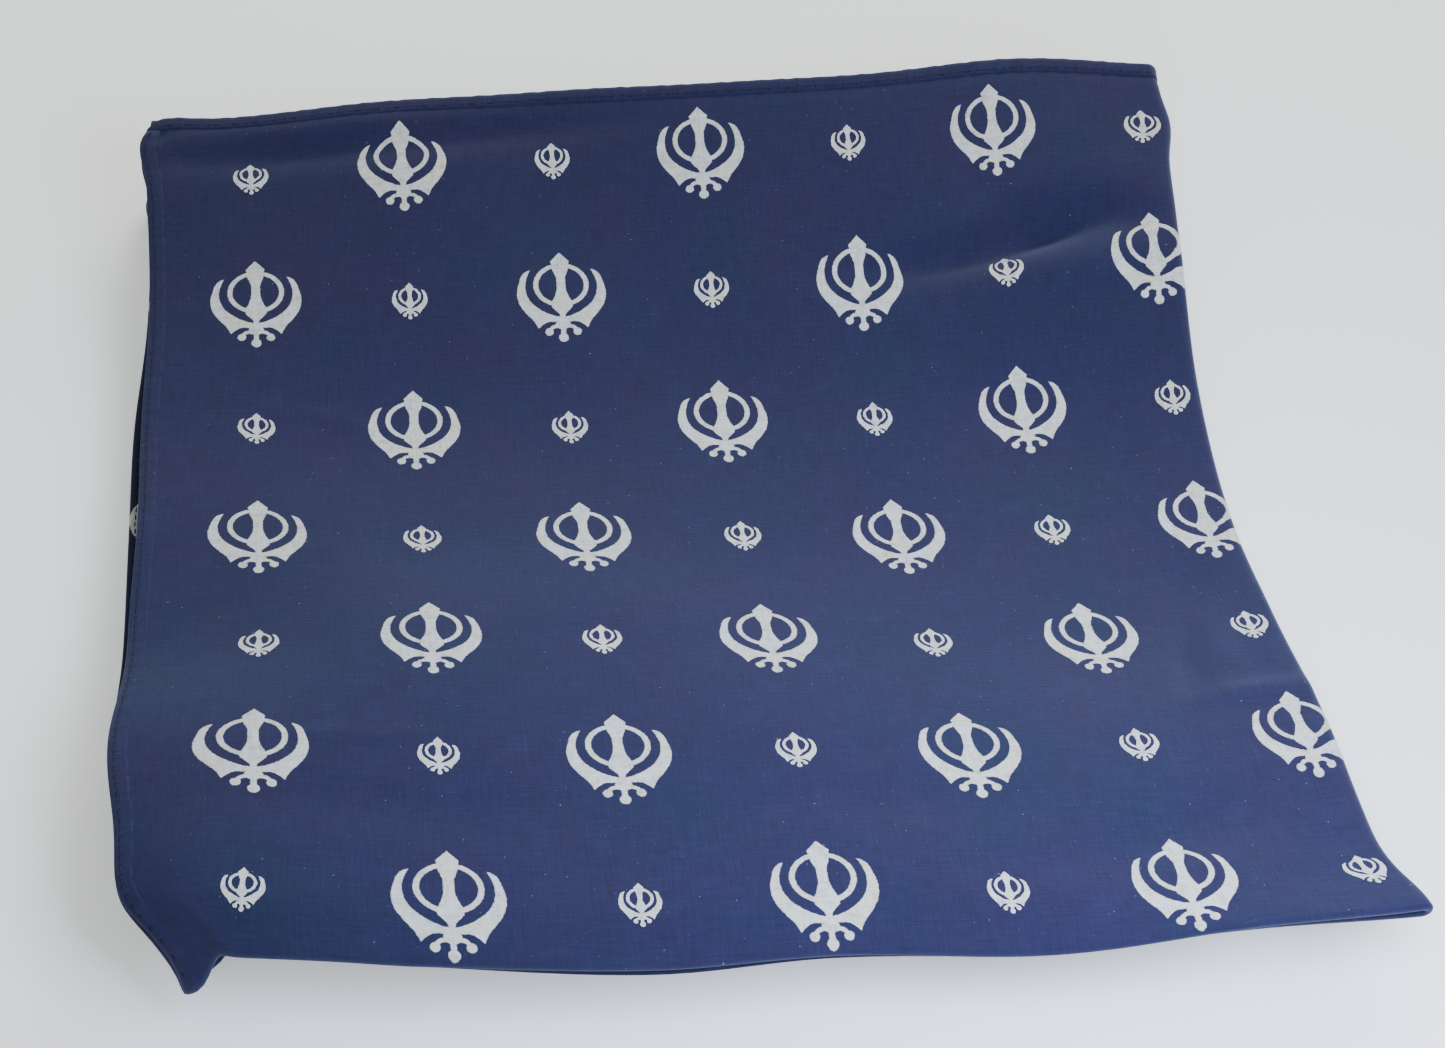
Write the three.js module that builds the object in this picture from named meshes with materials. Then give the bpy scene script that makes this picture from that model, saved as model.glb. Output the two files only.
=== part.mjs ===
// A printed square cotton head cloth (rumal), folded in quarters and lying loosely.
// The front and right edges are folds, the back and left edges are open, stitched hems.
// Millimetres, +Z up, the front fold towards -Y. The origin is at the middle of the base.

import * as THREE from 'three';

// The flat cloth, hem to hem, its wall, and the turned hem round it: its width, how much
// thicker than the cloth it is, and the share of that wall left at its outer edge
const clothWidth = 660;
const clothLength = 660;
const clothWall = 1.0;
const hemWidth = 5;
const hemExtra = 0.2;
const hemEdgeShare = 0.7;

// Clear spaces: piece to piece in one layer, hem to hem in a pair of layers, pair to pair
const seamGap = 0.4;
const pairGap = 0.4;
const foldGap = 0.4;

// How high the top layers stand off the stack, and how far a pair of hems springs open
const rise = 42;
const hemSpring = 2.2;

// Grid steps around a crease, and over the cloth between a crease and a hem. Small steps that
// normals are taken over, in millimetres, and slopes, as a share of the cloth's half side.
const creaseSteps = 6;
const clothSteps = 20;
const normalStep = 0.05;
const slopeStep = 0.01;

const halfWidth = clothWidth / 2;
const halfLength = clothLength / 2;
const hemWall = clothWall + hemExtra;

// The folded cloth as sections from the front fold (along 0) to the back hems (along 1).
// left, right, drawn: how far the left edge, the right fold and the whole section lie right
// of or behind a true square, as shares of its side. under: how far the lower pair of layers
// shows past the left hem. lifts: height of the top pair at each station, as shares of rise.
const sections = [
  { along: 0.00, left: 0.036, right: 0.038, drawn: 0.000, under: -0.004,
    lifts: [0.22, 0.46, 0.46, 0.41, 0.40, 0.38, 0.42, 0.40] },
  { along: 0.05, left: 0.004, right: 0.015, drawn: -0.002, under: -0.004,
    lifts: [0.44, 0.62, 0.57, 0.53, 0.51, 0.49, 0.40, 0.32] },
  { along: 0.21, left: 0.003, right: 0.006, drawn: -0.004, under: 0.021,
    lifts: [0.53, 0.57, 0.59, 0.53, 0.46, 0.40, 0.34, 0.28] },
  { along: 0.36, left: 0.008, right: -0.004, drawn: -0.010, under: 0.021,
    lifts: [0.27, 0.29, 0.40, 0.36, 0.28, 0.19, 0.10, 0.11] },
  { along: 0.50, left: 0.008, right: -0.008, drawn: -0.012, under: 0.018,
    lifts: [0.19, 0.17, 0.17, 0.13, 0.08, 0.03, 0.00, 0.00] },
  { along: 0.65, left: 0.008, right: -0.006, drawn: -0.010, under: 0.012,
    lifts: [0.11, 0.10, 0.05, 0.05, 0.05, 0.07, 0.10, 0.17] },
  { along: 0.80, left: 0.010, right: 0.004, drawn: -0.006, under: 0.006,
    lifts: [0.18, 0.21, 0.23, 0.27, 0.31, 0.38, 0.49, 0.57] },
  { along: 1.00, left: 0.006, right: 0.020, drawn: 0.000, under: 0.000,
    lifts: [0.46, 0.52, 0.63, 0.69, 0.76, 0.85, 0.95, 1.00] },
];

// The same cloth as stations from the left hems (across 0) to the right fold (across 1).
// front, back: how far the front fold and the back hem lie behind a true square.
// setBack: how far the lower front fold hides behind the upper one. join: how much of the
// lift the lower pair shares, all of it at the fold that joins them.
const stations = [
  { across: 0.00, front: 0.034, back: -0.004, setBack: 0.026, join: 0.00 },
  { across: 0.07, front: 0.038, back: -0.009, setBack: 0.044, join: 0.00 },
  { across: 0.22, front: 0.014, back: -0.009, setBack: 0.046, join: 0.00 },
  { across: 0.40, front: 0.000, back: -0.011, setBack: 0.036, join: 0.00 },
  { across: 0.55, front: 0.001, back: -0.013, setBack: 0.038, join: 0.00 },
  { across: 0.70, front: -0.010, back: -0.014, setBack: 0.034, join: 0.15 },
  { across: 0.85, front: -0.005, back: -0.010, setBack: 0.016, join: 0.70 },
  { across: 1.00, front: 0.010, back: -0.014, setBack: 0.000, join: 1.00 },
];

// Dents and swells of the top pair: middle, reach and half width as shares of the side,
// turn in degrees from the left-right line, depth as a share of rise (negative is a swell)
const dents = [
  { across: 0.86, along: 0.81, reach: 0.10, spread: 0.030, turn: 14, depth: 0.12 },
  { across: 0.12, along: 0.95, reach: 0.16, spread: 0.025, turn: -3, depth: 0.05 },
  { across: 0.20, along: 0.15, reach: 0.14, spread: 0.030, turn: -2, depth: 0.05 },
  { across: 0.58, along: 0.14, reach: 0.12, spread: 0.030, turn: 3, depth: 0.05 },
  { across: 0.83, along: 0.10, reach: 0.12, spread: 0.030, turn: 16, depth: 0.05 },
  { across: 0.92, along: 0.35, reach: 0.05, spread: 0.025, turn: 80, depth: 0.06 },
];

const clamp = THREE.MathUtils.clamp;
const lerp = THREE.MathUtils.lerp;
const quarterTurn = Math.PI / 2;

// Index of the knot before a place, and the share of the way to the next knot
function between(knots, place) {
  const held = clamp(place, knots[0], knots[knots.length - 1]);
  let knot = 0;
  while (knot < knots.length - 2 && held > knots[knot + 1]) knot += 1;
  return [knot, (held - knots[knot]) / (knots[knot + 1] - knots[knot])];
}

// A smooth curve through one value at each knot
function through(knots, values, place) {
  const [knot, share] = between(knots, place);
  const slope = (at) => {
    const before = Math.max(at - 1, 0);
    const after = Math.min(at + 1, knots.length - 1);
    return (values[after] - values[before]) / (knots[after] - knots[before]);
  };
  const stretch = knots[knot + 1] - knots[knot];
  const square = share * share;
  const cube = square * share;
  return values[knot] * (2 * cube - 3 * square + 1)
    + values[knot + 1] * (3 * square - 2 * cube)
    + stretch * slope(knot) * (cube - 2 * square + share)
    + stretch * slope(knot + 1) * (cube - square);
}

const alongKnots = sections.map((section) => section.along);
const acrossKnots = stations.map((station) => station.across);
const fromSections = (column, v) => through(alongKnots, sections.map((row) => row[column]), v);
const fromStations = (column, u) => through(acrossKnots, stations.map((row) => row[column]), u);

// Height of the top pair of layers over its pressed place
function lift(u, v) {
  const line = sections.map((section) => through(acrossKnots, section.lifts, u));
  let height = through(alongKnots, line, v);
  for (const dent of dents) {
    const turn = THREE.MathUtils.degToRad(dent.turn);
    const right = u - dent.across;
    const behind = v - dent.along;
    const lengthways = (right * Math.cos(turn) + behind * Math.sin(turn)) / dent.reach;
    const sideways = (behind * Math.cos(turn) - right * Math.sin(turn)) / dent.spread;
    height -= dent.depth * Math.exp(-lengthways * lengthways - sideways * sideways);
  }
  return rise * Math.max(height, 0);
}

// Half the distance between the middles of two pressed layers of a pair, the radius of the
// right fold halfway through the pair, and the length of cloth in half of each fold
const pressedHalf = clothWall / 2 + hemExtra + pairGap / 2;
const creaseRadius = pressedHalf + (clothWall + foldGap) / 2;
const frontTurn = pressedHalf * quarterTurn;
const rightTurn = creaseRadius * quarterTurn;

// How far the cloth lies to the right of a true square, as a share of its side
const rightShift = (u, v) => (1 - u) * fromSections('left', v) + u * fromSections('right', v);

// The same half distance, measured upright: wider on a slope, so that the gap across it stays
// clear, and wider towards the back left, where the hems spring apart
function pairHalf(u, v) {
  const [left, right] = [Math.max(u - slopeStep, 0), Math.min(u + slopeStep, 1)];
  const [front, back] = [Math.max(v - slopeStep, 0), Math.min(v + slopeStep, 1)];
  const climbRight = (lift(right, v) - lift(left, v)) / (right - left) / halfWidth;
  const climbBack = (lift(u, back) - lift(u, front)) / (back - front) / halfLength;
  const skew = (rightShift(u, back) - rightShift(u, front)) / (back - front);
  return pressedHalf * Math.hypot(1, climbRight, climbBack - skew * climbRight)
    + hemSpring * v * v * (1 - u * u);
}

// Place of a point of the cloth's middle surface. across runs from the left hem of the upper
// pair (-halfWidth) over the right fold (0) to the hem of the lower pair (halfWidth). along
// runs from the lower layer's hem (-halfLength) over the front fold (0) to the upper hem.
function lay(across, along) {
  const turned = -clamp(across / rightTurn, -1, 1) * quarterTurn;
  const flatAcross = Math.max(Math.abs(across) - rightTurn, 0);
  const middleX = halfWidth - rightTurn - flatAcross + creaseRadius * Math.cos(turned);
  const u = clamp(middleX / halfWidth, 0, 1);
  const upper = (1 + Math.sin(turned)) / 2;

  const flatAlong = Math.abs(along) / halfLength;
  const half = pairHalf(u, flatAlong);
  const rolled = clamp(along / frontTurn, -1, 1) * quarterTurn;
  const y = Math.max(Math.abs(along) - frontTurn, 0) + half * (1 - Math.cos(rolled));
  const v = clamp(y / halfLength, 0, 1);
  const side = half * Math.sin(rolled);
  const x = middleX + side * Math.cos(turned);

  const height = lift(u, v);
  const lowerMiddle = clothWall / 2 + half + height * Math.max(fromStations('join', u), 0);
  const upperMiddle = clothWall / 2 + 3 * half + clothWall + foldGap + height;
  const z = (upperMiddle + lowerMiddle) / 2
    + ((upperMiddle - lowerMiddle) / 2 + side) * Math.sin(turned);

  const shownShift = -(1 - upper) * (1 - u) * fromSections('under', v);
  const backShift = fromSections('drawn', v)
    + (1 - v) * fromStations('front', u) + v * fromStations('back', u)
    + (1 - upper) * (1 - v) * fromStations('setBack', u);
  return new THREE.Vector3(
    x + halfWidth * (rightShift(u, v) + shownShift), y + halfLength * backShift, z,
  );
}

// A point at some depth off the middle surface, towards the printed face
function offSurface(across, along, depth) {
  const right = lay(across + normalStep, along).sub(lay(across - normalStep, along));
  const behind = lay(across, along + normalStep).sub(lay(across, along - normalStep));
  return lay(across, along).addScaledVector(right.cross(behind).normalize(), depth);
}

// A closed slab over a grid of the flat cloth. faceDepth and backDepth give how far the
// printed face and the plain back lie off the middle surface at a place.
function slab(acrossPlaces, alongPlaces, faceDepth, backDepth) {
  const columns = acrossPlaces.length;
  const rows = alongPlaces.length;
  const places = [];
  for (const depth of [faceDepth, backDepth]) {
    for (const along of alongPlaces) {
      for (const across of acrossPlaces) {
        places.push(...offSurface(across, along, depth(across, along)).toArray());
      }
    }
  }
  const faces = [];
  const quad = (a, b, c, d) => faces.push(a, b, c, a, c, d);
  const backStart = columns * rows;
  for (let row = 0; row < rows - 1; row += 1) {
    for (let column = 0; column < columns - 1; column += 1) {
      const here = row * columns + column;
      const over = here + columns;
      quad(here, here + 1, over + 1, over);
      quad(backStart + here, backStart + over, backStart + over + 1, backStart + here + 1);
    }
  }
  const rim = [];
  for (let column = 0; column < columns - 1; column += 1) rim.push(column);
  for (let row = 0; row < rows - 1; row += 1) rim.push(row * columns + columns - 1);
  for (let column = columns - 1; column > 0; column -= 1) rim.push((rows - 1) * columns + column);
  for (let row = rows - 1; row > 0; row -= 1) rim.push(row * columns);
  rim.forEach((here, order) => {
    const next = rim[(order + 1) % rim.length];
    quad(here, backStart + here, backStart + next, next);
  });
  const geometry = new THREE.BufferGeometry();
  geometry.setAttribute('position', new THREE.Float32BufferAttribute(places, 3));
  geometry.setIndex(faces);
  geometry.computeVertexNormals();
  return geometry;
}

// Grid places from one hem over the crease to the other: fine at the crease
function placesOver(reach, creaseReach) {
  const places = [];
  for (let step = 0; step <= clothSteps; step += 1) {
    places.push(lerp(-reach, -creaseReach, step / clothSteps));
  }
  for (let step = 1; step < creaseSteps; step += 1) {
    places.push(lerp(-creaseReach, creaseReach, step / creaseSteps));
  }
  return [...places, ...places.slice(0, clothSteps + 1).map((place) => -place).reverse()];
}

const panelAcross = placesOver(halfWidth - hemWidth - seamGap, rightTurn);
const panelAlong = placesOver(halfLength - hemWidth - seamGap, frontTurn);
const hemAcross = placesOver(halfWidth, rightTurn);

const navyCotton = { color: 0x38426b, roughness: 0.92, metalness: 0 };
const navyHem = { color: 0x2b3356, roughness: 0.94, metalness: 0 };
const cloth = new THREE.Group();

function addPiece(name, geometry, finish) {
  const piece = new THREE.Mesh(geometry, new THREE.MeshStandardMaterial(finish));
  piece.name = name;
  cloth.add(piece);
}

const faceDepth = () => clothWall / 2;
const plainBack = () => -clothWall / 2;
const upperAcross = [...panelAcross.filter((place) => place < 0), -seamGap / 2];
const lowerAcross = upperAcross.map((place) => -place).reverse();
addPiece('cloth_upper_pair', slab(upperAcross, panelAlong, faceDepth, plainBack), navyCotton);
addPiece('cloth_lower_pair', slab(lowerAcross, panelAlong, faceDepth, plainBack), navyCotton);

// A hem is turned to the back of the cloth, so its wall grows that way, and thins at its edge
const hemSteps = [0, hemEdgeShare, 1];
const hemBack = (inwards) => clothWall / 2 - hemWall * (inwards > seamGap ? 1 : hemEdgeShare);

// Places across a hem that lies along one end of a side, from low to high
function hemPlaces(reach, end) {
  const places = hemSteps.map((share) => end * (reach - hemWidth * (1 - share)));
  return end > 0 ? places : places.reverse();
}

// The two hems along the back and front ends of the flat cloth
function endHem(end) {
  const back = (across, along) => hemBack(halfLength - Math.abs(along));
  return slab(hemAcross, hemPlaces(halfLength, end), faceDepth, back);
}

// The two hems down its sides, between the end hems
function sideHem(end) {
  const back = (across) => hemBack(halfWidth - Math.abs(across));
  return slab(hemPlaces(halfWidth, end), panelAlong, faceDepth, back);
}

addPiece('hem_top_edge', endHem(1), navyHem);
addPiece('hem_bottom_edge', endHem(-1), navyHem);
addPiece('hem_left_edge', sideHem(-1), navyHem);
addPiece('hem_right_edge', sideHem(1), navyHem);

// The origin goes to the middle of the base
const box = new THREE.Box3().setFromObject(cloth);
const middle = box.getCenter(new THREE.Vector3());
for (const piece of cloth.children) piece.position.set(-middle.x, -middle.y, -box.min.z);

export default cloth;
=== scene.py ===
import math

import bpy
import numpy as np
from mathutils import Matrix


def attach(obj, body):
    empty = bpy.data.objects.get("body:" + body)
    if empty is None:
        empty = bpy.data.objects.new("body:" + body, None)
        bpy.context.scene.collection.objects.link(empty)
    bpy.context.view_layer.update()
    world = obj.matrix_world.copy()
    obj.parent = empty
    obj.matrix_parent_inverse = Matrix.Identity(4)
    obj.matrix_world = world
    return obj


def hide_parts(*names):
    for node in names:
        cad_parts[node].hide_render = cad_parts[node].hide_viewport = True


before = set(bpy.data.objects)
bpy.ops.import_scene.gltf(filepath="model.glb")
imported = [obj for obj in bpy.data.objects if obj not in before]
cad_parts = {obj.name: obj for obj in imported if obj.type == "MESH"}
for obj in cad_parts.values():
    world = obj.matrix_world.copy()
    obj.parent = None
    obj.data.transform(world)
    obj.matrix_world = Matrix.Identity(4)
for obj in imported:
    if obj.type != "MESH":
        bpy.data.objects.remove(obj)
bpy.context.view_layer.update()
print("frame loaded")

bpy.ops.object.select_all(action="DESELECT")

cameraValues = {
    "place": (-0.1015, -0.5520, 0.6198),
    "turn": (42.467, -3.270, -7.226),   # degrees
    "lens": 69.17,                      # mm, on a 36 mm wide sensor
}
bpy.ops.object.camera_add(
    location=cameraValues["place"],
    rotation=[math.radians(angle) for angle in cameraValues["turn"]],
)
camera = bpy.context.object
camera.name = "camera"
camera.data.lens = cameraValues["lens"]
camera.data.sensor_width = 36.0
bpy.context.scene.camera = camera
print("camera set")

# The whole cloth, in millimetres. Shares below are shares of half its side.
clothValues = {
    "side": 660.0,
    "faceDepth": 0.5,        # the printed face stands this far off the middle surface
    "gauge": 0.5,            # thickness of the woven cloth
    "lowest": 0.5,           # the middle surface of the lowest layer lies this high
    "pressedHalf": 0.9,      # half the distance between the two layers of a pressed pair
    "creaseHalf": 1.6,       # radius of the right fold, halfway through the pair
    "pairGap": 1.4,          # from the upper pair's lower layer to the lower pair's upper layer
    "rise": 42.0,            # the height that the table of lifts is in shares of
    "settle": 0.3,           # how softly a lift below nothing is brought back to it, in mm2
    "spring": 2.2,           # how far the hems of a pair spring open at the back left
    "corner": (168.2, 163.3),   # from the folded corner at the front left to the middle
    "rightWider": 0.0335,    # the right half of the print runs this much wider
    "hemLine": 325.2,        # the woven part ends here, in the turned hem
    "foldLines": 9,          # grid lines round a fold
    "slopeStep": 0.01,       # the slope is read this share of half the side each way
    "normalStep": 0.05,      # and the way that the cloth faces this far, in mm
}

# Sections from the front fold (0) to the back hems (1): how far the left hems and the right
# fold lie to the right of a true square, how far the whole section lies behind it, and how
# far the lower pair shows to the left under the upper one
foldAlong = {
    "place": [0.00, 0.05, 0.21, 0.36, 0.50, 0.65, 0.80, 1.00],
    "left": [0.004, 0.004, 0.003, 0.008, 0.008, 0.008, 0.010, 0.006],
    "right": [0.010, 0.008, 0.004, -0.004, -0.008, -0.006, 0.004, 0.020],
    "behind": [0.000, -0.002, -0.004, -0.010, -0.012, -0.010, -0.006, 0.000],
    "under": [-0.004, -0.004, 0.021, 0.021, 0.018, 0.012, 0.006, 0.000],
}

# Stations from the left hems (0) to the right fold (1): how far the front fold and the back
# hems lie behind a true square, how far the lower pair's front fold lies behind the upper
# one's, and the share of the upper pair's lift that the lower one takes
foldAcross = {
    "place": [0.00, 0.07, 0.22, 0.40, 0.55, 0.70, 0.85, 1.00],
    "front": [0.034, 0.038, 0.014, 0.000, 0.001, -0.010, -0.005, 0.010],
    "back": [-0.004, -0.009, -0.009, -0.011, -0.013, -0.014, -0.010, -0.014],
    "setBack": [0.044, 0.050, 0.046, 0.036, 0.038, 0.034, 0.016, 0.000],
    "join": [0.00, 0.00, 0.00, 0.00, 0.00, 0.15, 0.70, 1.00],
}

# Heights of the top pair: one row for each section, one column for each station
foldLifts = [
    [0.17, 0.46, 0.46, 0.41, 0.40, 0.38, 0.42, 0.40],
    [0.44, 0.62, 0.57, 0.53, 0.51, 0.49, 0.40, 0.32],
    [0.53, 0.57, 0.59, 0.53, 0.46, 0.40, 0.34, 0.28],
    [0.27, 0.29, 0.40, 0.36, 0.28, 0.19, 0.10, 0.11],
    [0.19, 0.17, 0.17, 0.13, 0.08, 0.03, 0.00, 0.00],
    [0.11, 0.10, 0.05, 0.05, 0.05, 0.07, 0.10, 0.17],
    [0.18, 0.21, 0.23, 0.27, 0.31, 0.38, 0.49, 0.57],
    [0.46, 0.52, 0.63, 0.69, 0.76, 0.85, 0.95, 1.00],
]

# Soft creases of the top pair: middle, half length, half width, turn in degrees, height in mm
creaseValues = [
    {"at": (0.875, 0.825), "reach": 0.055, "spread": 0.025, "turn": 10, "height": -8.6},
    {"at": (0.780, 0.800), "reach": 0.070, "spread": 0.020, "turn": 4, "height": -4.4},
    {"at": (0.955, 0.825), "reach": 0.040, "spread": 0.020, "turn": -20, "height": -1.6},
    {"at": (0.890, 0.780), "reach": 0.070, "spread": 0.020, "turn": 6, "height": 1.2},
    {"at": (0.16, 0.955), "reach": 0.14, "spread": 0.017, "turn": 0, "height": -2.6},
    {"at": (0.36, 0.965), "reach": 0.10, "spread": 0.016, "turn": 3, "height": -1.8},
    {"at": (0.016, 0.982), "reach": 0.014, "spread": 0.006, "turn": 10, "height": -1.3},
    {"at": (0.16, 1.00), "reach": 0.20, "spread": 0.012, "turn": 0, "height": -1.3},
    {"at": (0.20, 0.14), "reach": 0.14, "spread": 0.030, "turn": -1, "height": -1.4},
    {"at": (0.60, 0.14), "reach": 0.10, "spread": 0.030, "turn": 3, "height": -1.6},
    {"at": (0.83, 0.10), "reach": 0.13, "spread": 0.028, "turn": 15, "height": -2.0},
    {"at": (0.60, 0.035), "reach": 0.07, "spread": 0.020, "turn": -3, "height": -1.0},
    {"at": (0.905, 0.31), "reach": 0.05, "spread": 0.012, "turn": 72, "height": -1.8},
    {"at": (0.935, 0.31), "reach": 0.05, "spread": 0.014, "turn": 72, "height": 1.2},
    {"at": (0.95, 0.25), "reach": 0.05, "spread": 0.012, "turn": 4, "height": 1.4},
    {"at": (0.94, 0.40), "reach": 0.05, "spread": 0.030, "turn": 60, "height": -1.6},
    {"at": (0.18, 0.215), "reach": 0.07, "spread": 0.008, "turn": 2, "height": 0.6},
    {"at": (0.17, 0.65), "reach": 0.05, "spread": 0.008, "turn": -12, "height": 0.5},
    {"at": (0.59, 0.19), "reach": 0.03, "spread": 0.012, "turn": 30, "height": -0.6},
    {"at": (0.055, 0.025), "reach": 0.05, "spread": 0.010, "turn": 130, "height": 0.9},
]

# Long low ripples of the top pair: waves across and along the square, phase, height in mm
rippleValues = [
    (2.3, 5.1, 0.4, 0.35), (4.2, -3.4, 1.9, 0.28), (6.1, 2.2, 3.1, 0.20),
    (-5.3, 7.4, 4.4, 0.16), (9.2, 6.3, 0.9, 0.10), (11.4, -9.1, 2.6, 0.07),
]

# Small pushes of the cloth's place: middle, reach each way, and mm to the right and back
pushValues = [
    {"at": (0.00, 0.00), "reach": (0.07, 0.045), "right": 15.0, "back": 0.0, "upper": False},
    {"at": (0.06, 0.05), "reach": (0.12, 0.060), "right": -4.4, "back": 0.0, "upper": False},
    {"at": (1.00, 0.00), "reach": (0.09, 0.050), "right": 7.0, "back": 0.0, "upper": False},
    {"at": (0.015, 0.00), "reach": (0.022, 0.030), "right": 0.0, "back": -3.8, "upper": False},
    {"at": (0.10, 0.00), "reach": (0.060, 0.040), "right": -4.2, "back": -0.8, "upper": False},
    {"at": (0.95, 0.090), "reach": (0.080, 0.045), "right": 0.0, "back": -5.4, "upper": True},
    {"at": (1.00, 0.00), "reach": (0.10, 0.040), "right": 0.0, "back": -2.4, "upper": False},
    {"at": (0.00, 0.39), "reach": (0.05, 0.070), "right": -0.9, "back": 0.0, "upper": True},
    {"at": (0.00, 0.21), "reach": (0.06, 0.100), "right": -2.6, "back": 0.0, "upper": True},
    {"at": (0.00, 0.20), "reach": (0.08, 0.090), "right": -1.4, "back": 0.0, "upper": False},
    {"at": (0.00, 0.64), "reach": (0.06, 0.100), "right": -1.0, "back": 0.0, "upper": False},
    {"at": (0.00, 0.36), "reach": (0.05, 0.24), "right": -3.0, "back": 0.0, "upper": True},
    {"at": (0.00, 0.97), "reach": (0.04, 0.025), "right": -1.8, "back": 0.0, "upper": False},
    {"at": (0.00, 1.00), "reach": (0.02, 0.015), "right": 2.8, "back": -2.2, "upper": False},
    {"at": (0.00, 1.00), "reach": (0.05, 0.030), "right": 0.0, "back": 3.0, "upper": False},
    {"at": (0.88, 1.00), "reach": (0.09, 0.060), "right": 0.0, "back": 1.8, "upper": False},
    {"at": (1.00, 0.93), "reach": (0.05, 0.030), "right": 2.4, "back": 0.0, "upper": False},
    {"at": (1.00, 0.60), "reach": (0.08, 0.350), "right": 1.0, "back": 0.0, "upper": False},
]

half = clothValues["side"] / 2
quarterTurn = math.pi / 2
print("fold values read")


# A smooth curve through one value at each knot, read at many places
def curveThrough(knots, values, places):
    knots, values = np.asarray(knots, float), np.asarray(values, float)
    places = np.clip(places, knots[0], knots[-1])
    low = np.clip(np.searchsorted(knots, places, side="right") - 1, 0, len(knots) - 2)
    after = np.minimum(np.arange(len(knots)) + 1, len(knots) - 1)
    before = np.maximum(np.arange(len(knots)) - 1, 0)
    slopes = ((values[after] - values[before]).T / (knots[after] - knots[before])).T
    if values.ndim == 2:
        pick = lambda table, index: np.take_along_axis(table, index[None], 0)[0]
    else:
        pick = lambda table, index: table[index]
    stretch = knots[low + 1] - knots[low]
    share = (places - knots[low]) / stretch
    square, cube = share ** 2, share ** 3
    return (pick(values, low) * (2 * cube - 3 * square + 1)
            + pick(values, low + 1) * (3 * square - 2 * cube)
            + stretch * pick(slopes, low) * (cube - 2 * square + share)
            + stretch * pick(slopes, low + 1) * (cube - square))


def fromAlong(name, v):
    return curveThrough(foldAlong["place"], foldAlong[name], v)


def fromAcross(name, u):
    return curveThrough(foldAcross["place"], foldAcross[name], u)


# Height of the top pair over its pressed place
def liftAt(u, v):
    rows = np.stack([curveThrough(foldAcross["place"], row, u) for row in foldLifts])
    height = clothValues["rise"] * curveThrough(foldAlong["place"], rows, v)
    for crease in creaseValues:
        turn = math.radians(crease["turn"])
        right, behind = u - crease["at"][0], v - crease["at"][1]
        lengthways = (right * math.cos(turn) + behind * math.sin(turn)) / crease["reach"]
        sideways = (behind * math.cos(turn) - right * math.sin(turn)) / crease["spread"]
        height = height + crease["height"] * np.exp(-lengthways ** 2 - sideways ** 2)
    for across, along, phase, size in rippleValues:
        height = height + size * np.sin(math.pi * (across * u + along * v) + phase)
    settled = np.sqrt(height ** 2 + clothValues["settle"])
    return (height + settled) / 2   # never below the lower pair


# How far the cloth lies to the right of a true square, and behind it, in mm. upper is 1 on
# the upper pair and 0 on the lower one.
def shiftRight(u, v, upper):
    shift = half * ((1 - u) * fromAlong("left", v) + u * fromAlong("right", v)
                    - (1 - upper) * (1 - u) * fromAlong("under", v))
    for push in pushValues:
        shift = shift + push["right"] * nearPush(push, u, v, upper)
    return shift


def shiftBack(u, v, upper):
    shift = half * (fromAlong("behind", v) + (1 - v) * fromAcross("front", u)
                    + v * fromAcross("back", u) + (1 - upper) * (1 - v) * fromAcross("setBack", u))
    for push in pushValues:
        shift = shift + push["back"] * nearPush(push, u, v, upper)
    return shift


def nearPush(push, u, v, upper):
    near = np.exp(-((u - push["at"][0]) / push["reach"][0]) ** 2
                  - ((v - push["at"][1]) / push["reach"][1]) ** 2)
    return near * upper if push["upper"] else near


# Half the upright distance between the two layers of a pair, wider where the cloth is steep
def pairHalfAt(u, v):
    step = clothValues["slopeStep"]
    left, right = np.maximum(u - step, 0), np.minimum(u + step, 1)
    front, back = np.maximum(v - step, 0), np.minimum(v + step, 1)
    climbRight = (liftAt(right, v) - liftAt(left, v)) / (right - left) / half
    climbBack = (liftAt(u, back) - liftAt(u, front)) / (back - front) / half
    skew = (shiftRight(u, back, 1) - shiftRight(u, front, 1)) / (back - front) / half
    steep = np.sqrt(1 + climbRight ** 2 + (climbBack - skew * climbRight) ** 2)
    return clothValues["pressedHalf"] * steep + clothValues["spring"] * v * v * (1 - u * u)


# Where a point of the flat cloth's middle surface lies. across runs from the hem of the upper
# pair over the right fold (0) to the hem of the lower pair, along from the lower layers' hem
# over the front fold (0) to the upper layers' hem.
def foldedPlace(across, along):
    pressedHalf, creaseHalf = clothValues["pressedHalf"], clothValues["creaseHalf"]
    rightTurn, frontTurn = creaseHalf * quarterTurn, pressedHalf * quarterTurn
    turned = -np.clip(across / rightTurn, -1, 1) * quarterTurn
    middleX = (half - rightTurn - np.maximum(np.abs(across) - rightTurn, 0)
               + creaseHalf * np.cos(turned))
    u = np.clip(middleX / half, 0, 1)
    upper = (1 + np.sin(turned)) / 2
    pairHalf = pairHalfAt(u, np.abs(along) / half)
    rolled = np.clip(along / frontTurn, -1, 1) * quarterTurn
    y = np.maximum(np.abs(along) - frontTurn, 0) + pairHalf * (1 - np.cos(rolled))
    v = np.clip(y / half, 0, 1)
    side = pairHalf * np.sin(rolled)
    height = liftAt(u, v)
    lowest = clothValues["lowest"]
    lowerMiddle = lowest + pairHalf + height * np.maximum(fromAcross("join", u), 0)
    upperMiddle = lowest + 3 * pairHalf + clothValues["pairGap"] + height
    z = ((upperMiddle + lowerMiddle) / 2
         + ((upperMiddle - lowerMiddle) / 2 + side) * np.sin(turned))
    x = middleX + side * np.cos(turned) + shiftRight(u, v, upper)
    y = y + shiftBack(u, v, upper)
    return np.stack([x - clothValues["corner"][0], y - clothValues["corner"][1], z], -1)


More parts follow.
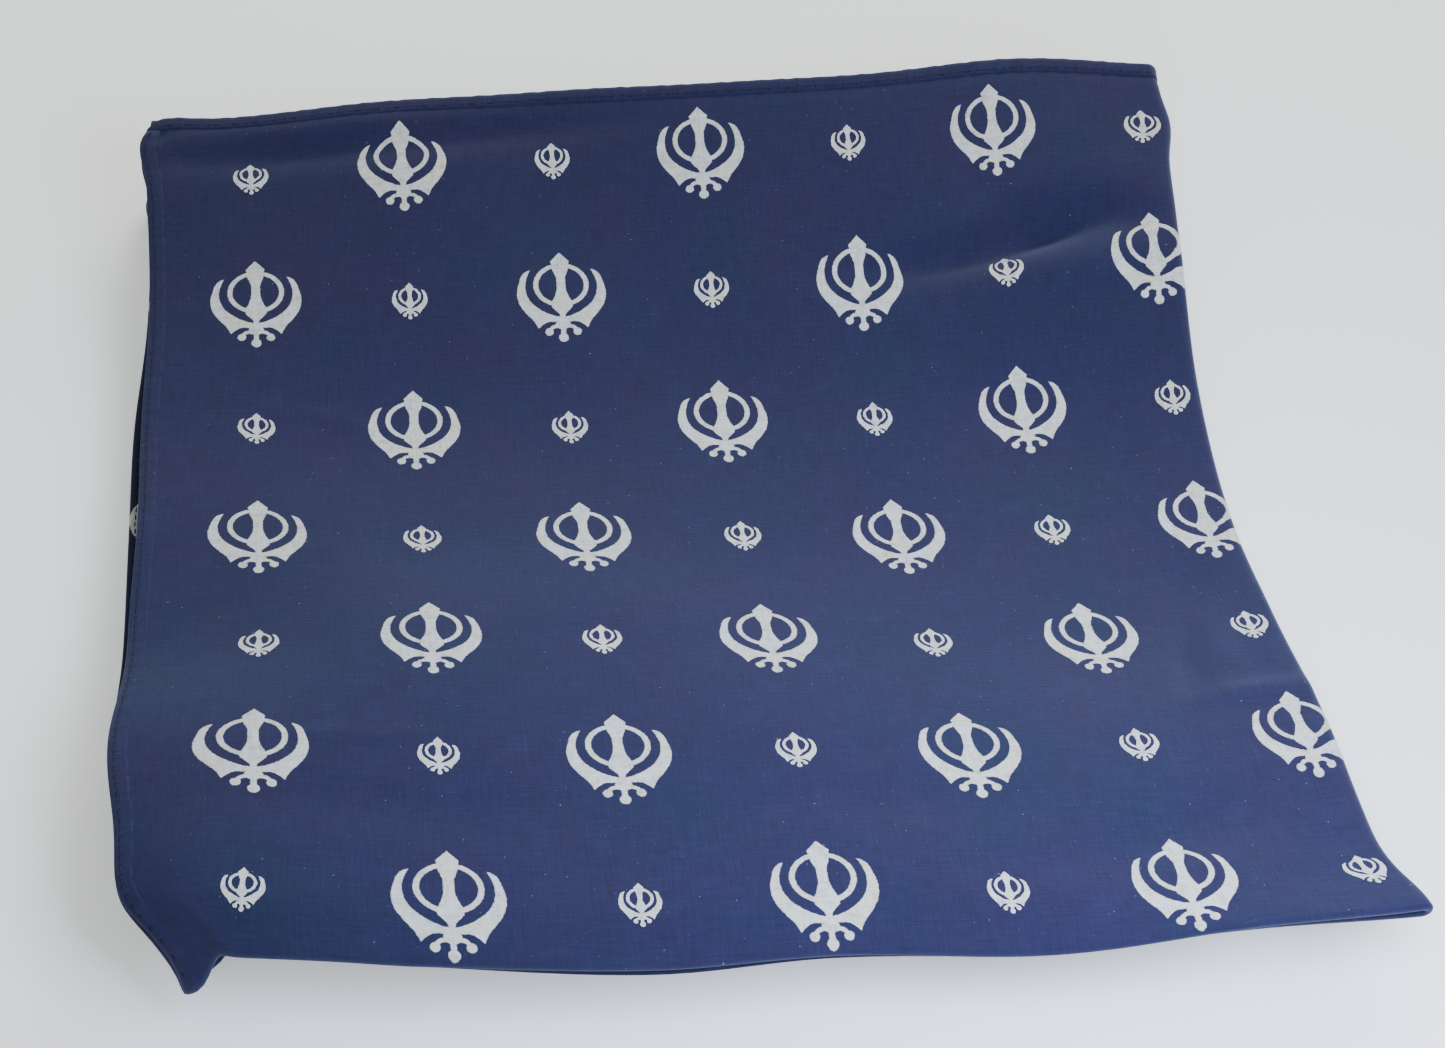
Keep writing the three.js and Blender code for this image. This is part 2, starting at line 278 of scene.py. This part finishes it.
# The same, at a depth off the middle surface towards the printed face, in metres
def clothPoint(across, along, depth):
    step = clothValues["normalStep"]
    right = foldedPlace(across + step, along) - foldedPlace(across - step, along)
    behind = foldedPlace(across, along + step) - foldedPlace(across, along - step)
    normal = np.cross(right, behind)
    normal /= np.linalg.norm(normal, axis=-1, keepdims=True)
    return (foldedPlace(across, along) + normal * np.asarray(depth)[..., None]) / 1000


# Grid lines from one hem over the fold to the other, close together at the fold
def clothLines(reach, fold, firstStep, lastStep):
    first = np.linspace(-reach, -fold, round(reach / firstStep) + 1)
    turn = np.linspace(-fold, fold, clothValues["foldLines"])
    last = np.linspace(fold, reach, round(reach / lastStep) + 1)
    return np.concatenate([first[:-1], turn, last[1:]])


# A flat grid with so many lines each way, and the places of its corners, from -1 to 1
def makeGrid(name, linesAcross, linesAlong):
    bpy.ops.mesh.primitive_grid_add(
        x_subdivisions=linesAcross - 1, y_subdivisions=linesAlong - 1, size=2, calc_uvs=False,
    )
    grid = bpy.context.object
    grid.name = grid.data.name = name
    corners = np.zeros(len(grid.data.vertices) * 3)
    grid.data.vertices.foreach_get("co", corners)
    return grid, corners.reshape(-1, 3)


# The line that a grid place from -1 to 1 lies on
def spread(places, lines):
    return np.interp(places, np.linspace(-1, 1, len(lines)), lines)


# Writes each place of the flat cloth to the piece's UV map
def layMap(piece, across, along):
    mesh = piece.data
    corner = np.zeros(len(mesh.loops), int)
    mesh.loops.foreach_get("vertex_index", corner)
    flatMap = mesh.uv_layers.new(name="flatCloth")
    places = np.stack([across[corner], along[corner]], -1) / clothValues["side"] + 0.5
    flatMap.data.foreach_set("uv", places.ravel())


def pickOnly(piece):
    bpy.ops.object.select_all(action="DESELECT")
    piece.select_set(True)
    bpy.context.view_layer.objects.active = piece


sheetValues = {
    "step": 6.0,            # between grid lines where the top layer hides the cloth
    "fineStep": 2.4,        # and where the cloth shows
    "backGroove": 0.40,     # the seams press the cloth in beside the back hems
    "sideGroove": 0.07,     # and less beside the side hems
    "grooveWidth": 1.6,
    "roundBelow": 50,       # faces that meet at less than this, in degrees, are shaded as one
}


def makeCloth():
    reach = clothValues["hemLine"]
    frontFold = clothValues["pressedHalf"] * quarterTurn
    rightFold = clothValues["creaseHalf"] * quarterTurn
    step, fineStep = sheetValues["step"], sheetValues["fineStep"]
    acrossLines = clothLines(reach, rightFold, fineStep, step)
    alongLines = clothLines(reach, frontFold, step, fineStep)
    cloth, corners = makeGrid("printed_cloth", len(acrossLines), len(alongLines))
    across = spread(corners[:, 0], acrossLines)
    along = spread(corners[:, 1], alongLines)
    width = sheetValues["grooveWidth"]
    groove = (sheetValues["backGroove"] * np.exp(-((reach - np.abs(along)) / width) ** 2)
              + sheetValues["sideGroove"] * np.exp(-((reach - np.abs(across)) / width) ** 2))
    places = clothPoint(across, along, clothValues["faceDepth"] - groove)
    cloth.data.vertices.foreach_set("co", places.ravel())
    layMap(cloth, across, along)
    pickOnly(cloth)
    bpy.ops.object.shade_smooth()
    bpy.ops.object.modifier_add(type="SOLIDIFY")
    wall = cloth.modifiers[-1]
    wall.thickness = clothValues["gauge"] / 1000
    wall.offset = -1
    wall.material_offset = 1       # the back and the edges take the second material
    wall.material_offset_rim = 1
    return cloth


printedCloth = makeCloth()
print("cloth folded", len(printedCloth.data.polygons), "faces")


hemValues = {
    # round the rolled hem: how far in from the edge, and depth off the middle surface, in mm
    "backSection": [(5.1, 0.42), (4.3, 0.62), (3.0, 0.60), (1.6, 0.66), (0.6, 0.55), (0.12, 0.2),
                    (0.0, -0.1), (0.2, -0.5), (0.9, -0.74), (2.6, -0.8), (4.4, -0.76),
                    (5.1, -0.4), (5.2, 0.0)],
    "sideSection": [(5.1, 0.44), (4.3, 0.48), (3.0, 0.52), (1.6, 0.55), (0.6, 0.46), (0.12, 0.2),
                    (0.0, -0.1), (0.2, -0.5), (0.9, -0.74), (2.6, -0.8), (4.4, -0.76),
                    (5.1, -0.4), (5.2, 0.0)],
    "step": 2.2,
    "cornerGap": 0.1,
    "backPucker": 0.12,      # height of the puckers between stitches
    "sidePucker": 0.06,
    "underPucker": 0.4,      # share of it on the hem's underside
    # the puckers' waves: length in mm, share of the height, and how far they drift over how much
    "puckers": [(7.0, 1.0, 2, 23), (4.1, 0.6, 3, 17)],
    "weld": 0.000002,        # in metres
}


# A rolled hem down one edge of the flat cloth, over the fold in its middle. place gives the
# flat place for how far along the edge and how far in from it.
def makeHem(name, kind, reach, fold, place):
    section = np.array(hemValues[kind + "Section"])
    runs = clothLines(reach, fold, hemValues["step"], hemValues["step"])
    hem, corners = makeGrid(name, len(runs), len(section) + 1)
    run = spread(corners[:, 0], runs)
    around = np.rint((corners[:, 1] + 1) / 2 * len(section)).astype(int) % len(section)
    inward, depth = section[around].T
    wave = sum(share * np.sin(run * 2 * math.pi / long + drift * np.sin(run / over))
               for long, share, drift, over in hemValues["puckers"])
    under = np.where(depth > 0, 1, hemValues["underPucker"])
    depth = depth + hemValues[kind + "Pucker"] * wave * under
    across, along = place(run, inward)
    hem.data.vertices.foreach_set("co", clothPoint(across, along, depth).ravel())
    layMap(hem, across, along)
    pickOnly(hem)
    bpy.ops.object.mode_set(mode="EDIT")
    bpy.ops.mesh.select_all(action="SELECT")
    bpy.ops.mesh.remove_doubles(threshold=hemValues["weld"])
    bpy.ops.mesh.select_all(action="DESELECT")
    bpy.ops.mesh.select_non_manifold(extend=False, use_wire=False, use_multi_face=False,
                                     use_non_contiguous=False, use_verts=False)
    bpy.ops.mesh.edge_face_add()   # closes both ends
    bpy.ops.mesh.select_all(action="SELECT")
    bpy.ops.mesh.normals_make_consistent(inside=False)
    bpy.ops.object.mode_set(mode="OBJECT")
    bpy.ops.object.shade_smooth()
    return hem


backFold = clothValues["creaseHalf"] * quarterTurn
sideFold = clothValues["pressedHalf"] * quarterTurn
sideReach = half - hemValues["backSection"][-1][0] - hemValues["cornerGap"]
hems = [
    makeHem("back_hem", "back", half, backFold, lambda run, inward: (run, half - inward)),
    makeHem("second_back_hem", "back", half, backFold, lambda run, inward: (run, inward - half)),
    makeHem("left_hem", "side", sideReach, sideFold, lambda run, inward: (inward - half, run)),
    makeHem("lower_left_hem", "side", sideReach, sideFold,
            lambda run, inward: (half - inward, run)),
]
print("hems rolled")


stitchValues = {
    "backInset": 3.7,    # from the edge of the back hems
    "sideInset": 1.9,    # and of the side hems
    "backDepth": 0.66,   # off the middle surface of the hem
    "sideDepth": 0.58,
    "pitch": 3.0,
    "length": 2.3,
    "width": 0.44,
    "height": 0.30,
    "sides": 6,
    "bendAt": 0.25,      # share of the length at which a stitch bends down, each way
    "endWidth": 0.55,    # share of the width that the ends keep
    "dip": 0.12,         # how far the ends go down
    "wander": 0.08,      # to and fro across the seam
    "wanderTurn": 1.7,   # radians from one stitch to the next
    "hole": 0.42,        # width of the needle's hole
    "holeReach": 1.6,    # widths from the middle at which it ends
    # painted shade: how much the colour is darkened in the needle holes
    "holeShade": 0.75,
}


# One stitch as a short round bar that dips at both ends, in millimetres
def makeStitch():
    bpy.ops.mesh.primitive_cylinder_add(
        vertices=stitchValues["sides"], radius=0.5, depth=1.0, end_fill_type="TRIFAN",
        rotation=(0, quarterTurn, 0),
    )
    stitch = bpy.context.object
    bpy.ops.object.transform_apply(location=False, rotation=True, scale=False)
    bpy.ops.object.mode_set(mode="EDIT")
    for bend in (-stitchValues["bendAt"], stitchValues["bendAt"]):
        bpy.ops.mesh.select_all(action="SELECT")
        bpy.ops.mesh.bisect(plane_co=(bend, 0, 0), plane_no=(1, 0, 0))
    bpy.ops.object.mode_set(mode="OBJECT")
    shape = np.array([vertex.co for vertex in stitch.data.vertices])
    faces = [tuple(face.vertices) for face in stitch.data.polygons]
    bpy.data.objects.remove(stitch, do_unlink=True)
    middle = 1 - (2 * np.abs(shape[:, 0])) ** 3   # 1 in the middle, 0 at the ends
    endWidth = stitchValues["endWidth"]
    shape[:, 0] *= stitchValues["length"]
    shape[:, 1] *= stitchValues["width"] * (endWidth + (1 - endWidth) * middle)
    shape[:, 2] = shape[:, 2] * stitchValues["height"] + stitchValues["dip"] * (middle - 1)
    return shape, faces


# All the stitches of these seams as one piece
def makeStitches(name, seams):
    shape, faces = makeStitch()
    across, along, depths, allFaces = [], [], [], []
    for reach, inset, depth, place in seams:
        order = np.arange(int(2 * reach / stitchValues["pitch"]))
        run = (order + 0.5) * stitchValues["pitch"] - reach
        clear = abs(run) > stitchValues["pitch"]   # none on the fold
        order, run = order[clear][:, None], run[clear][:, None] + shape[:, 0]
        wander = stitchValues["wander"] * np.sin(order * stitchValues["wanderTurn"])
        inward = inset + shape[:, 1] + wander
        first = len(shape) * sum(len(row) for row in across)
        for row, flatRow in zip((across, along), place(run, inward)):
            row.append(flatRow + 0 * run)
        depths.append(depth + shape[:, 2] + 0 * run)
        allFaces += [tuple(first + number * len(shape) + corner for corner in face)
                     for number in range(len(order)) for face in faces]
    across, along, depths = (np.concatenate(rows).ravel() for rows in (across, along, depths))
    mesh = bpy.data.meshes.new(name)
    mesh.from_pydata(clothPoint(across, along, depths).tolist(), [], allFaces)
    stitches = bpy.data.objects.new(name, mesh)
    bpy.context.scene.collection.objects.link(stitches)
    pickOnly(stitches)
    bpy.ops.object.mode_set(mode="EDIT")
    bpy.ops.mesh.select_all(action="SELECT")
    bpy.ops.mesh.normals_make_consistent(inside=False)
    bpy.ops.object.mode_set(mode="OBJECT")
    bpy.ops.object.shade_smooth()
    return stitches


seamReach = half - stitchValues["backInset"]
backSeam = (seamReach, stitchValues["backInset"], stitchValues["backDepth"])
sideSeam = (seamReach, stitchValues["sideInset"], stitchValues["sideDepth"])
stitches = makeStitches("hem_stitches", [
    (*backSeam, lambda run, inward: (run, half - inward)),
    (*backSeam, lambda run, inward: (run, inward - half)),
    (*sideSeam, lambda run, inward: (inward - half, run)),
    (*sideSeam, lambda run, inward: (half - inward, run)),
])
print("stitches sewn", len(stitches.data.polygons), "faces")


class Thread:   # an output socket that takes part in sums, and a way to add nodes behind it
    def __init__(self, tree, socket=None):
        self.tree, self.socket = tree, socket

    def node(self, kind, settings=None, inputs=None, output=0):
        node = self.tree.nodes.new(kind)
        for name, value in (settings or {}).items():
            if name == "points":
                curve = node.mapping.curves[0]
                while len(curve.points) < len(value):
                    curve.points.new(0.5, 0.5)
                for point, place in zip(curve.points, value):
                    point.location = place[:2]
                    point.handle_type = "VECTOR" if len(place) > 2 else "AUTO_CLAMPED"
                node.mapping.update()
            else:
                setattr(node, name, value)
        for key, value in (inputs or {}).items():
            if isinstance(value, Thread):
                self.tree.links.new(value.socket, node.inputs[key])
            else:
                node.inputs[key].default_value = value
        return Thread(self.tree, node.outputs[output] if node.outputs else None)

    def sum(self, operation, *values):
        return self.node("ShaderNodeMath", {"operation": operation}, dict(enumerate(values)))

    def __add__(self, other):
        return self.sum("ADD", self, other)

    __radd__ = __add__

    def __sub__(self, other):
        return self.sum("SUBTRACT", self, other)

    def __rsub__(self, other):
        return self.sum("SUBTRACT", other, self)

    def __mul__(self, other):
        return self.sum("MULTIPLY", self, other)

    __rmul__ = __mul__

    def __truediv__(self, other):
        return self.sum("DIVIDE", self, other)

    def __pow__(self, other):
        return self.sum("POWER", self, other)

    def __abs__(self):
        return self.sum("ABSOLUTE", self)

    def atMost(self, other):
        return self.sum("MINIMUM", self, other)

    def atLeast(self, other):
        return self.sum("MAXIMUM", self, other)

    def rounded(self):
        return self.sum("ROUND", self)

    def whole(self):   # the whole number at or below it
        return self.sum("FLOOR", self)

    def held(self):   # kept between 0 and 1
        return self.node("ShaderNodeClamp", None, {"Value": self})

    def curve(self, points):
        return self.node("ShaderNodeFloatCurve", {"points": points}, {"Value": self})

    def blend(self, low, high):   # colours, by this value
        return self.node("ShaderNodeMix", {"data_type": "RGBA"},
                         {0: self, 6: low, 7: high}, output=2)

    def tone(self, colour):   # a colour times this value
        grey = self.node("ShaderNodeCombineColor", None, {0: self, 1: self, 2: self})
        return self.node("ShaderNodeMix", {"data_type": "RGBA", "blend_type": "MULTIPLY"},
                         {0: 1.0, 6: colour, 7: grey}, output=2)


def length(x, y):
    return (x * x + y * y) ** 0.5


# The emblem's drawing, in its own units, across from its middle line and down from the tip of
# the blade. A curve's points have a share of the way, a value, and a mark at a sharp corner.
emblemValues = {
    "middle": 435,          # this far down lies on the print's grid
    "shrink": 2,            # taken off all round
    "bladeHalf": 100,
    "bladeSpan": 900,       # what the outline's points are shares of
    "bladeFoot": 820,
    "bladeOutline": [
        (0.0, 0.0, "sharp"), (0.097, 0.80, "sharp"), (0.125, 0.74), (0.179, 0.68),
        (0.237, 0.50), (0.30, 0.38), (0.378, 0.385), (0.442, 0.50), (0.493, 0.67), (0.545, 0.87),
        (0.570, 0.90), (0.608, 0.74), (0.648, 0.42), (0.680, 0.25), (0.73, 0.22), (1.0, 0.22),
    ],
    "ringDown": 318,
    "ringWide": 239,        # the ring is an oval of this shape
    "ringTall": 215,
    "ringReach": 214,       # from the middle to the middle of the band, across
    "ringBand": 22,         # half the width of the band
    "swordDown": 330,       # the curved blades bend round this place
    "swordTurn": 125,       # degrees from straight down to their tips
    "swordSpan": 500,       # what their edges' points are shares of
    "swordOuter": [
        (0.0, 0.70), (0.031, 0.70), (0.092, 0.704), (0.153, 0.731), (0.193, 0.806),
        (0.217, 0.914, "sharp"), (0.255, 0.862), (0.30, 0.822), (0.385, 0.802), (0.52, 0.793),
        (0.64, 0.766), (0.76, 0.72), (0.885, 0.69), (0.94, 0.650), (0.98, 0.60, "sharp"),
        (1.0, 0.57, "sharp"),
    ],
    "swordInner": [
        (0.0, 0.594), (0.09, 0.588), (0.17, 0.577), (0.235, 0.575), (0.34, 0.578), (0.42, 0.589),
        (0.53, 0.602), (0.65, 0.607), (0.76, 0.606), (0.865, 0.601), (0.96, 0.604), (1.0, 0.61),
    ],
    "hookAt": (54, 780),    # the middle of the arc that a hook follows
    "hookReach": 62,
    "hookBand": 17,
    "hookFrom": 14,
    "hookFoot": 784,
    "ballAt": (119, 771),
    "ballReach": 36,
    "middleBallDown": 829,
    "middleBallReach": 42,
    "jointDown": 696,
    "jointReach": 64,
    "jointFlatter": 1.45,
}


# How deep inside the emblem a place is, in drawing units
def emblemDepth(across, down):
    drawn = emblemValues
    # the two-edged blade
    outline = (down / drawn["bladeSpan"]).held().curve(drawn["bladeOutline"])
    blade = (outline * drawn["bladeHalf"] - across).atMost(down).atMost(drawn["bladeFoot"] - down)
    # the ring round it
    ringDown = (down - drawn["ringDown"]) / drawn["ringTall"]
    ringFar = length(across / drawn["ringWide"], ringDown) * drawn["ringWide"]
    ring = drawn["ringBand"] - abs(ringFar - drawn["ringReach"])
    # one of the two curved blades, by the turn from straight down and the distance
    swordDown = down - drawn["swordDown"]
    turn = across.sum("ARCTAN2", across, swordDown) / math.radians(drawn["swordTurn"])
    swordFar = length(across, swordDown)
    outer = turn.held().curve(drawn["swordOuter"]) * drawn["swordSpan"]
    inner = turn.held().curve(drawn["swordInner"]) * drawn["swordSpan"]
    sword = (swordFar - inner).atMost(outer - swordFar)
    # the hooks under them, with a ball at each end
    hookFar = length(across - drawn["hookAt"][0], down - drawn["hookAt"][1])
    hook = drawn["hookBand"] - abs(hookFar - drawn["hookReach"])
    hook = hook.atMost(across - drawn["hookFrom"]).atMost(drawn["hookFoot"] - down)
    ball = drawn["ballReach"] - length(across - drawn["ballAt"][0], down - drawn["ballAt"][1])
    middleBall = drawn["middleBallReach"] - length(across, down - drawn["middleBallDown"])
    jointDown = (down - drawn["jointDown"]) * drawn["jointFlatter"]
    joint = drawn["jointReach"] - length(across, jointDown)
    return (blade.atLeast(ring).atLeast(sword).atLeast(hook).atLeast(ball).atLeast(middleBall)
            .atLeast(joint) - drawn["shrink"])


# Painted shade: dark dots where the needle went in, the shade inside the holes drawn into the
# colour. sideways is the distance from the seam, run goes along it
def needleHoles(sideways, run):
    order = run / stitchValues["pitch"]
    beside = (order - order.rounded()) * stitchValues["pitch"]
    return (stitchValues["holeReach"] - length(beside, sideways) / stitchValues["hole"]).held()


clothColours = {
    "navy": (0.0135, 0.0130, 0.0520, 1),
    "teal": (0.0095, 0.0165, 0.0470, 1),
    "plum": (0.0170, 0.0120, 0.0480, 1),
    "worn": (0.0200, 0.0210, 0.0700, 1),
    "lint": (0.16, 0.17, 0.22, 1),
    "print": (0.63, 0.63, 0.62, 1),
    "printYellow": (0.62, 0.61, 0.49, 1),
    "printThin": (0.38, 0.37, 0.37, 1),
    "back": (0.018, 0.021, 0.062, 1),
    "thread": (0.004, 0.005, 0.014, 1),
}

# Soft patterns: waves in each mm across and down, detail, roughness and a shift of their own
patternValues = {
    "warp": (2.6, 0.16, 1.0, 0.5, 3.0),        # threads, as streaks that thicken and thin
    "weft": (0.16, 2.6, 1.0, 0.5, 11.0),
    "warpSlub": (1.1, 0.07, 2.0, 0.6, 31.0),   # and their thick places
    "weftSlub": (0.07, 1.1, 2.0, 0.6, 37.0),
    "fuzz": (1.4, 1.4, 3.0, 0.6, 5.0),
    "teal": (0.020, 0.020, 3.0, 0.55, 21.0),
    "plum": (0.032, 0.024, 3.0, 0.55, 47.0),
    "worn": (0.09, 0.09, 4.0, 0.6, 63.0),
    "lint": (1.5, 1.5, 0.0, 0.5, 151.0),
    "bleed": (1.1, 1.1, 3.0, 0.6, 83.0),
    "blot": (0.33, 0.33, 4.0, 0.65, 101.0),
    "tinge": (0.12, 0.12, 3.0, 0.6, 131.0),
}

# Patches of a pattern: the value at which they start, how sharply, and how strong they are
patchValues = {
    "teal": (0.44, 5, 0.60),
    "plum": (0.44, 5, 0.60),
    "worn": (0.52, 4, 0.35),
    "lint": (0.845, 20, 1.0),
    "tinge": (0.44, 6, 1.0),
    "thin": (0.47, 4, 0.75),
    "holes": (0.62, 8, 0.50),
}

weaveValues = {
    "threads": 0.8,          # how much the threads and the slubs count in the weave
    "slubs": 0.7,
    "weaveTone": 0.62,       # how much the weave and the fuzz change the colour
    "fuzzTone": 0.24,
    "weaveHeight": 0.8,
    "fuzzHeight": 0.5,
    "roughness": 0.86,
    "fuzzRoughness": 0.1,
    "bump": {"Strength": 0.35, "Distance": 0.00025},
    "finish": {"Sheen Weight": 0.25, "Sheen Roughness": 0.45, "Sheen Tint": (0.55, 0.65, 1.0, 1),
               "Specular IOR Level": 0.25},
    "backShade": 1.15,       # the plain back is this much lighter
}

printValues = {
    "pitch": 48.0,
    "firstAcross": 33.0,     # from the left hem to the middle of the first emblem
    "firstDown": 25.0,       # from the back hem
    "unit": 0.0375,          # mm of one drawing unit of the large emblem
    "flatter": 1.01,         # the print is this much lower than drawn
    "small": 0.39,           # size of the small emblem
    "smallThicker": 7.0,     # drawing units added around its strokes
    "ragged": 8.0,           # drawing units that the edge strays
    "softEdge": 7.0,         # and over which it fades
    "cover": 0.97,
    "holesBare": 0.5,        # share of the holes' strength that lets the cloth through
    "weaveTone": 0.45,
    "fuzzTone": 0.35,
    "height": 0.35,
    "smoother": 0.12,
}


def newMaterial(name):
    material = bpy.data.materials.new(name)
    material.use_nodes = True
    material.node_tree.nodes.clear()
    return material, Thread(material.node_tree)


def clothMaterial(name, printed, shade):
    material, start = newMaterial(name)
    side, wider = clothValues["side"], clothValues["rightWider"]
    flat = start.node("ShaderNodeUVMap", {"uv_map": "flatCloth"})
    across = start.node("ShaderNodeSeparateXYZ", None, {0: flat}) * side
    across = across + (across - half).atLeast(0) * wider
    down = side - start.node("ShaderNodeSeparateXYZ", None, {0: flat}, output=1) * side

    def pattern(name):
        scaleAcross, scaleDown, detail, rough, shift = patternValues[name]
        place = start.node("ShaderNodeCombineXYZ", None,
                           {0: across * scaleAcross + shift, 1: down * scaleDown, 2: shift})
        return start.node("ShaderNodeTexNoise", None, {
            "Vector": place, "Scale": 1.0, "Detail": detail, "Roughness": rough})

    def patches(name, under):
        begin, sharpness, strength = patchValues[name]
        return ((under - begin) * sharpness).held() * strength

    threads = pattern("warp") + pattern("weft") - 1.0
    slubs = pattern("warpSlub") + pattern("weftSlub") - 1.0
    weave = threads * weaveValues["threads"] + slubs * weaveValues["slubs"]
    fuzz = pattern("fuzz") - 0.5
    colour = patches("teal", pattern("teal")).blend(clothColours["navy"], clothColours["teal"])
    colour = patches("plum", pattern("plum")).blend(colour, clothColours["plum"])
    colour = patches("worn", pattern("worn")).blend(colour, clothColours["worn"])
    colour = patches("lint", pattern("lint")).blend(colour, clothColours["lint"])
    edgeAcross = across.atMost(side * (1 + wider / 2) - across)
    edgeDown = down.atMost(side - down)
    # painted shade: the cloth's colour is darkened at the needle holes of the seams, where the
    # holes would lie in shade
    sideHoles = needleHoles(edgeAcross - stitchValues["sideInset"], down)
    backHoles = needleHoles(edgeDown - stitchValues["backInset"], across)
    paintedHoleShade = sideHoles.atLeast(backHoles) * stitchValues["holeShade"]
    light = 1.0 + weave * weaveValues["weaveTone"] + fuzz * weaveValues["fuzzTone"]
    colour = (light * (1 - paintedHoleShade) * shade).tone(colour)
    height = weave * weaveValues["weaveHeight"] + fuzz * weaveValues["fuzzHeight"]
    roughness = weaveValues["roughness"] + fuzz * weaveValues["fuzzRoughness"]
    if printed:
        unit = printValues["unit"]
        column = (across - printValues["firstAcross"]) / printValues["pitch"] + 0.5
        row = (down - printValues["firstDown"]) / printValues["pitch"] + 0.5
        rightOf = (column - column.whole() - 0.5) * printValues["pitch"]
        below = (row - row.whole() - 0.5) * printValues["pitch"]
        order = (column.whole() + row.whole()) / 2
        large = (order - order.whole()) * 2   # 1 for a large emblem, 0 for a small one
        size = (printValues["small"] + large * (1 - printValues["small"])) * unit
        fromTip = below / size * printValues["flatter"] + emblemValues["middle"]
        inside = emblemDepth(abs(rightOf) / size, fromTip)
        bleed = pattern("bleed")
        ragged = (bleed - 0.5) * 2 * printValues["ragged"] / size * unit
        edge = inside + (1 - large) * printValues["smallThicker"] + ragged
        mask = (edge / size * unit / printValues["softEdge"] + 0.5).held()
        thin = patches("thin", pattern("blot"))
        holes = patches("holes", bleed)
        ink = patches("tinge", pattern("tinge")).blend(clothColours["print"],
                                                       clothColours["printYellow"])
        ink = (thin + holes).held().blend(ink, clothColours["printThin"])
        ink = (1.0 + weave * printValues["weaveTone"] + fuzz * printValues["fuzzTone"]).tone(ink)
        cover = mask * (printValues["cover"] - holes * printValues["holesBare"])
        colour = cover.blend(colour, ink)
        height = height + mask * printValues["height"]
        roughness = roughness - mask * printValues["smoother"]
    bump = start.node("ShaderNodeBump", None, {**weaveValues["bump"], "Height": height})
    shader = start.node("ShaderNodeBsdfPrincipled", None, {
        **weaveValues["finish"], "Base Color": colour, "Roughness": roughness, "Normal": bump})
    start.node("ShaderNodeOutputMaterial", None, {0: shader})
    return material


threadValues = {
    "twist": {"Scale": 2600.0, "Detail": 2.0},
    "bump": {"Strength": 0.4, "Distance": 0.0001},
    "roughness": 0.7,
    "twistRoughness": 0.2,
    "finish": {"Specular IOR Level": 0.3},
}


def threadMaterial():
    material, start = newMaterial("hem_thread")
    place = start.node("ShaderNodeTexCoord", output=3)   # Object coordinates
    twist = start.node("ShaderNodeTexNoise", None, {**threadValues["twist"], "Vector": place})
    colour = twist.blend(clothColours["thread"], clothColours["back"])
    roughness = threadValues["roughness"] + twist * threadValues["twistRoughness"]
    bump = start.node("ShaderNodeBump", None, {**threadValues["bump"], "Height": twist})
    shader = start.node("ShaderNodeBsdfPrincipled", None, {
        **threadValues["finish"], "Base Color": colour, "Roughness": roughness, "Normal": bump})
    start.node("ShaderNodeOutputMaterial", None, {0: shader})
    return material


printedNavy = clothMaterial("printed_navy_cotton", True, 1.0)
plainNavy = clothMaterial("plain_navy_back", False, weaveValues["backShade"])
hemNavy = clothMaterial("navy_hem_cotton", True, 1.0)
printedCloth.data.materials.append(printedNavy)
printedCloth.data.materials.append(plainNavy)
for hem, cotton in zip(hems, [hemNavy, hemNavy, printedNavy, printedNavy]):
    hem.data.materials.append(cotton)
stitches.data.materials.append(threadMaterial())
print("materials dyed and printed")

pickOnly(printedCloth)
bpy.ops.object.modifier_apply(modifier=printedCloth.modifiers[0].name)
bpy.ops.object.shade_smooth_by_angle(angle=math.radians(sheetValues["roundBelow"]))

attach(printedCloth, "root")
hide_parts("cloth_upper_pair", "cloth_lower_pair")
for hem, node in zip(hems, ["hem_top_edge", "hem_bottom_edge", "hem_left_edge",
                            "hem_right_edge"]):
    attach(hem, "root")
    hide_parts(node)
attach(stitches, "root")
print("pieces tied to the frame")

floorValues = {
    "size": 8,
    "drop": 0.0004,          # below the CAD's base
    "look": {"Base Color": (0.92, 0.92, 0.92, 1), "Roughness": 0.9,
             "Emission Color": (1, 1, 1, 1), "Emission Strength": 0.4},
}
bpy.ops.mesh.primitive_plane_add(size=floorValues["size"], location=(0, 0, -floorValues["drop"]))
floor = bpy.context.object
floor.name = "pale_floor"
floorMaterial, floorStart = newMaterial("pale_floor")
floorShader = floorStart.node("ShaderNodeBsdfPrincipled", None, floorValues["look"])
floorStart.node("ShaderNodeOutputMaterial", None, {0: floorShader})
floor.data.materials.append(floorMaterial)

lightValues = [
    {"name": "window_light", "place": (0.7, 1.3, 0.85), "aim": (0.0, 0.0, 0.0), "size": 1.0,
     "power": 23, "colour": (1.0, 0.97, 0.94)},
    {"name": "sky_light", "place": (0.12, -0.24, 0.27), "aim": (0.06, -0.09, 0.0), "size": 0.3,
     "power": 2.6, "colour": (0.62, 0.74, 1.0)},
]
for lamp in lightValues:
    bpy.ops.object.light_add(type="AREA", location=lamp["place"])
    light = bpy.context.object
    light.name = lamp["name"]
    light.data.energy = lamp["power"]
    light.data.size = lamp["size"]
    light.data.color = lamp["colour"]
    light.visible_camera = False
    x, y, z = np.subtract(lamp["place"], lamp["aim"])
    light.rotation_euler = (math.atan2(math.hypot(x, y), z), 0, math.atan2(x, -y))

worldValues = {"Color": (0.92, 1.0, 0.95, 1), "Strength": 0.56}
world = bpy.data.worlds.new("studio")
bpy.context.scene.world = world
world.use_nodes = True
for name, value in worldValues.items():
    world.node_tree.nodes["Background"].inputs[name].default_value = value
print("floor and light set")
